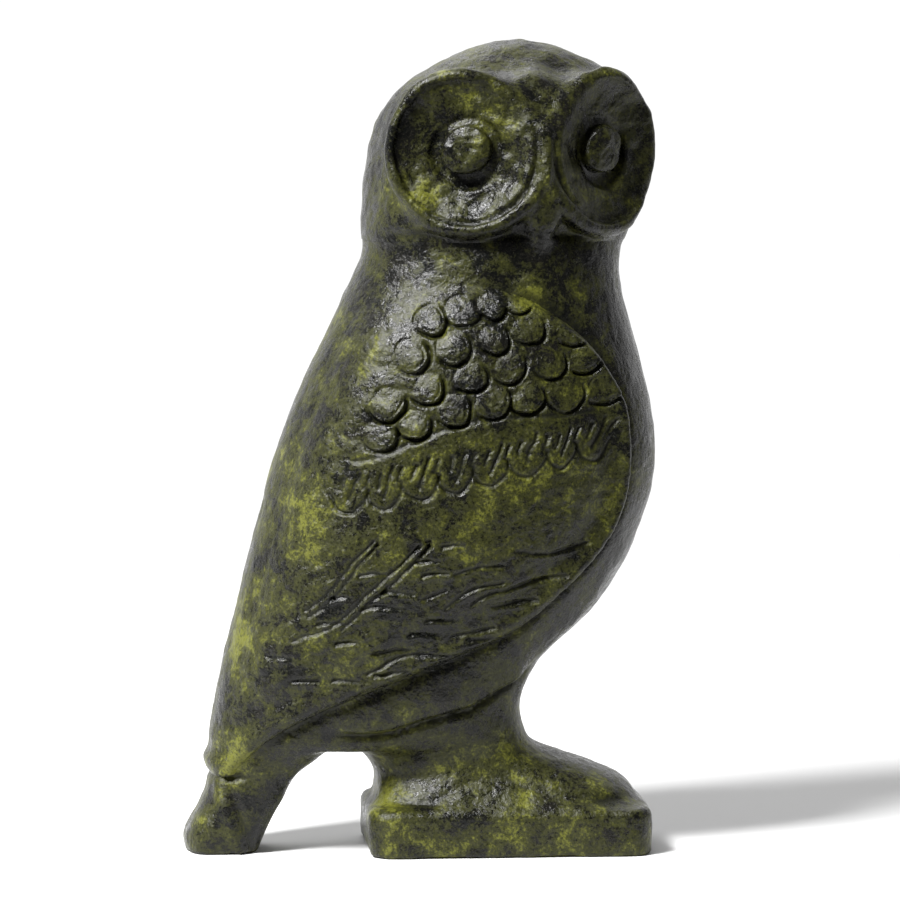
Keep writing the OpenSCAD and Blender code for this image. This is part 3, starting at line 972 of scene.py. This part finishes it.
DARK_BRONZE = (0.0018, 0.0021, 0.0019)
WARM_DARK = (0.007, 0.0066, 0.005)
OLIVE = (0.025, 0.0265, 0.0045)
CHARTREUSE = (0.115, 0.12, 0.016)
PALE_GRAIN = (0.064, 0.060, 0.044)
patina = patina_material()
bare_bronze = bare_bronze_material()
screw_steel = steel_material()

# ---------- what stands for what ----------

SKINS = [
    (torso, "body"), (legs, "legs"), (tail, "tail"), (plinth, "plinth"), (head_piece, "head"),
    (right_wing, "right_wing"), (left_wing, "left_wing"), (right_eye, "right_eye"),
    (left_eye, "left_eye"),
]
for piece, node in SKINS:
    piece.data.materials.append(patina)
    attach(piece, "root")
    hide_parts(node)
FASTENINGS = {
    "neck_pins": bare_bronze, "wing_rivets": bare_bronze, "tail_pin": bare_bronze,
    "core_plugs": bare_bronze, "plinth_screws": screw_steel, "screw_washers": screw_steel,
}
for node, material in FASTENINGS.items():
    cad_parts[node].data.materials.clear()
    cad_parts[node].data.materials.append(material)

# ---------- stage ----------

def make_stage():
    """A pale floor that ends just in front of the figure, so that it isn't mirrored in its side."""
    bpy.ops.mesh.primitive_plane_add(size=1, location=(0, 0.16, 0))
    floor = bpy.context.object
    floor.scale = (1.2, 0.48, 1)
    floor.name = "studio_floor"
    material = bpy.data.materials.new("pale_floor")
    material.use_nodes = True
    shader = material.node_tree.nodes["Principled BSDF"]
    shader.inputs["Base Color"].default_value = (0.72, 0.72, 0.72, 1)
    shader.inputs["Roughness"].default_value = 0.9
    floor.data.materials.append(material)


def make_light(name, place, size, power, aim=(-0.01, 0, 0.06)):
    lamp = bpy.data.lights.new(name, "AREA")
    lamp.size = size
    lamp.energy = power
    obj = bpy.data.objects.new(name, lamp)
    obj.location = place
    obj.rotation_euler = (Vector(aim) - Vector(place)).to_track_quat("-Z", "Y").to_euler()
    bpy.context.scene.collection.objects.link(obj)


def make_camera():
    azimuth, elevation, distance = math.radians(-4.6), math.radians(4.5), 0.70
    target = Vector((-0.0075, 0, 0.0543))
    back = Vector((
        math.sin(azimuth) * math.cos(elevation),
        -math.cos(azimuth) * math.cos(elevation),
        math.sin(elevation),
    ))
    data = bpy.data.cameras.new("camera")
    data.lens = 205.5
    data.clip_start = 0.01
    camera = bpy.data.objects.new("camera", data)
    camera.location = target + back * distance
    camera.rotation_euler = (-back).to_track_quat("-Z", "Y").to_euler()
    bpy.context.scene.collection.objects.link(camera)
    bpy.context.scene.camera = camera


def make_surroundings():
    """A white studio, brightest behind the figure and dim in front of it."""
    world = bpy.data.worlds.new("studio")
    bpy.context.scene.world = world
    world.use_nodes = True
    nodes, links = world.node_tree.nodes, world.node_tree.links
    split = nodes.new("ShaderNodeSeparateXYZ")
    links.new(nodes.new("ShaderNodeTexCoord").outputs["Generated"], split.inputs["Vector"])
    fade = nodes.new("ShaderNodeMapRange")
    fade.interpolation_type = "SMOOTHSTEP"
    links.new(split.outputs["Y"], fade.inputs["Value"])
    fade.inputs["From Min"].default_value = -0.1
    fade.inputs["From Max"].default_value = 0.8
    fade.inputs["To Min"].default_value = 0.15
    fade.inputs["To Max"].default_value = 1.05
    links.new(fade.outputs["Result"], nodes["Background"].inputs["Strength"])
    nodes["Background"].inputs["Color"].default_value = (1, 1, 1, 1)


make_stage()
make_light("softbox_left", (-0.4, -0.34, 0.6), 0.2, 16)
make_light("softbox_back", (-0.2, 0.6, 0.8), 0.6, 3)
make_surroundings()
make_camera()
bpy.context.scene.view_settings.view_transform = "Standard"
